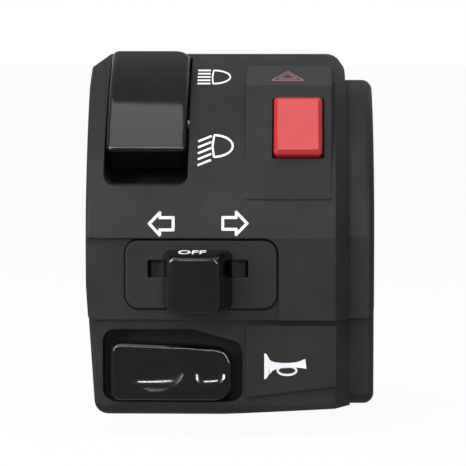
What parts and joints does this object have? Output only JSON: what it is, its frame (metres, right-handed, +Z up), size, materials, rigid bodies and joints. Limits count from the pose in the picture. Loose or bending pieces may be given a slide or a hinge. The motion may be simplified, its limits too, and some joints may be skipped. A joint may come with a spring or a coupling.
{
  "type": "motorcycle handlebar switch cluster",
  "caption": "Left hand motorcycle handlebar switch housing with beam rocker, hazard button, turn signal slide and horn button, clamped round a 22 mm bar.",
  "frame": {"origin": "on the handlebar's axis, midway between the main housing's left and right sides", "axes": "+X along the handlebar to the rider's right, +Y away from the rider, +Z up"},
  "size_m": [0.056, 0.0597, 0.0734],
  "materials": {
    "black_case": "fine grain",
    "gloss_black": "gloss",
    "red_button": "satin gloss",
    "dark_base": "moulded",
    "steel": "zinc plated",
    "brass": "stamped",
    "rubber": "matte"
  },
  "bodies": {
    "housing": {"front_case": "black_case", "rear_case": "black_case", "case_screws": "steel", "base_screws": "steel", "cable_grommet": "rubber", "rocker_pins": "steel", "beam_base": "dark_base", "beam_terminals": "brass", "beam_contact": "brass", "hazard_body": "dark_base", "hazard_terminals": "brass", "turn_plate": "black_case", "turn_base": "dark_base", "turn_terminals": "brass", "horn_base": "dark_base", "horn_terminals": "brass"},
    "rocker": {"beam_rocker": "gloss_black", "rocker_plunger": "dark_base", "rocker_spring": "steel"},
    "turn_slide": {"turn_slider": "dark_base", "turn_detent_ball": "steel", "turn_detent_spring": "steel", "turn_contact": "brass"},
    "turn_push": {"turn_knob": "gloss_black", "turn_cancel_spring": "steel"},
    "hazard": {"hazard_button": "red_button", "hazard_contact": "brass", "hazard_spring": "steel"},
    "horn": {"horn_button": "gloss_black", "horn_contact": "brass", "horn_spring": "steel"}
  },
  "joints": [
    {"name": "beam_rocker_tilt", "type": "hinge", "parent": "housing", "child": "rocker", "pos_m": [-0.01375, -0.01017, 0.02062], "axis": [1, 0, 0], "range_deg": [0, 12]},
    {"name": "turn_signal_slide", "type": "slide", "parent": "housing", "child": "turn_slide", "axis": [1, 0, 0], "range_m": [-0.0026, 0.0026]},
    {"name": "turn_cancel_push", "type": "slide", "parent": "turn_slide", "child": "turn_push", "axis": [0, 1, 0], "range_m": [0, 0.0015], "stiffness_N_per_m": 500, "springref_m": -0.001, "deforming": ["turn_cancel_spring"]},
    {"name": "hazard_push", "type": "slide", "parent": "housing", "child": "hazard", "axis": [0, 0.8747, -0.4846], "range_m": [0, 0.0015], "stiffness_N_per_m": 800, "springref_m": -0.0015, "deforming": ["hazard_spring"]},
    {"name": "horn_push", "type": "slide", "parent": "housing", "child": "horn", "axis": [0, 1, 0], "range_m": [0, 0.002], "stiffness_N_per_m": 800, "springref_m": -0.002, "deforming": ["horn_spring"]}
  ]
}
